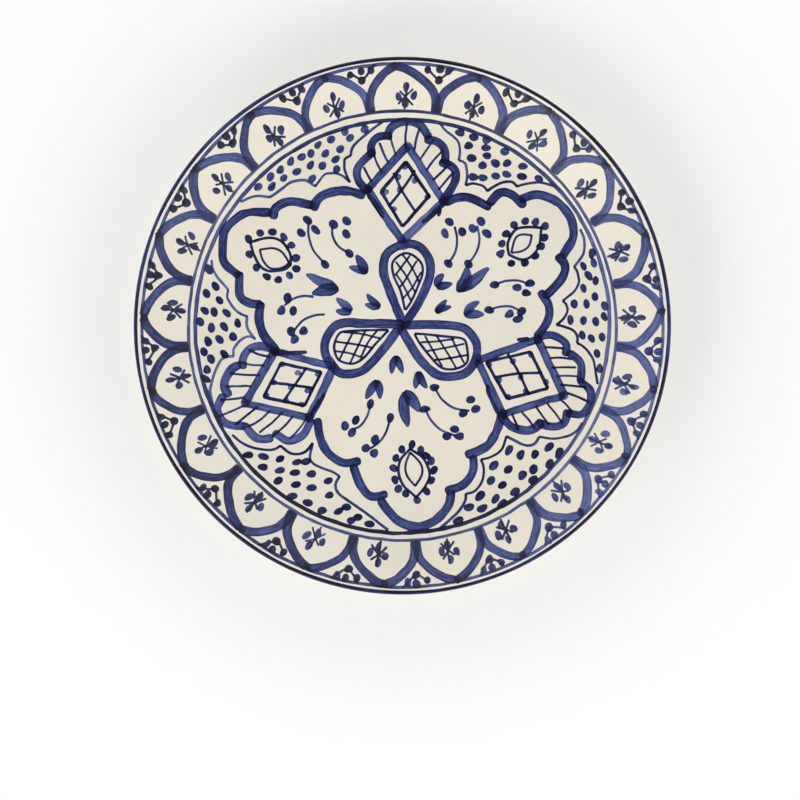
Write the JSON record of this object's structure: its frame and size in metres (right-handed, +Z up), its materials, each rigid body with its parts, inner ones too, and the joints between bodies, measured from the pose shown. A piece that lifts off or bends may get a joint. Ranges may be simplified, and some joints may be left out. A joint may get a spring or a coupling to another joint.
{
  "type": "serving plate",
  "caption": "Round shallow ceramic serving plate on a foot ring, cream glazed and hand painted in cobalt blue with an arched border and a three-fold figure.",
  "frame": {"origin": "centre of the circle that the foot ring rests on, on the surface that the plate stands on", "axes": "+Z up along the plate's turning axis, +Y along the first diamond and teardrop of the painted figure"},
  "size_m": [0.31, 0.31, 0.035],
  "materials": {
    "clay": "bare fired buff clay, matt",
    "glaze": "glossy cream glaze",
    "cobalt_dark": "thick cobalt brushwork under gloss",
    "cobalt": "cobalt brushwork under gloss",
    "cobalt_thin": "thin cobalt wash under gloss"
  },
  "bodies": {
    "root": {"clay_body": "clay", "foot_ring": "clay", "face_glaze": "glaze", "back_glaze": "glaze", "foot_well_glaze": "glaze", "rim_edge_band": "cobalt_dark", "rim_line": "cobalt", "border_inner_line": "cobalt", "well_line": "cobalt_dark", "border_arches": "cobalt", "border_stars": "cobalt_dark", "border_berries": "cobalt_dark", "lobed_frames": "cobalt", "scalloped_lines": "cobalt_thin", "field_dots": "cobalt_dark", "diamond_frames": "cobalt", "diamond_lattices": "cobalt_dark", "shell_fans": "cobalt", "teardrop_loops": "cobalt", "teardrop_lattices": "cobalt_dark", "eye_motifs": "cobalt_dark", "berry_sprigs": "cobalt", "leaf_sprays": "cobalt_dark"}
  },
  "joints": []
}
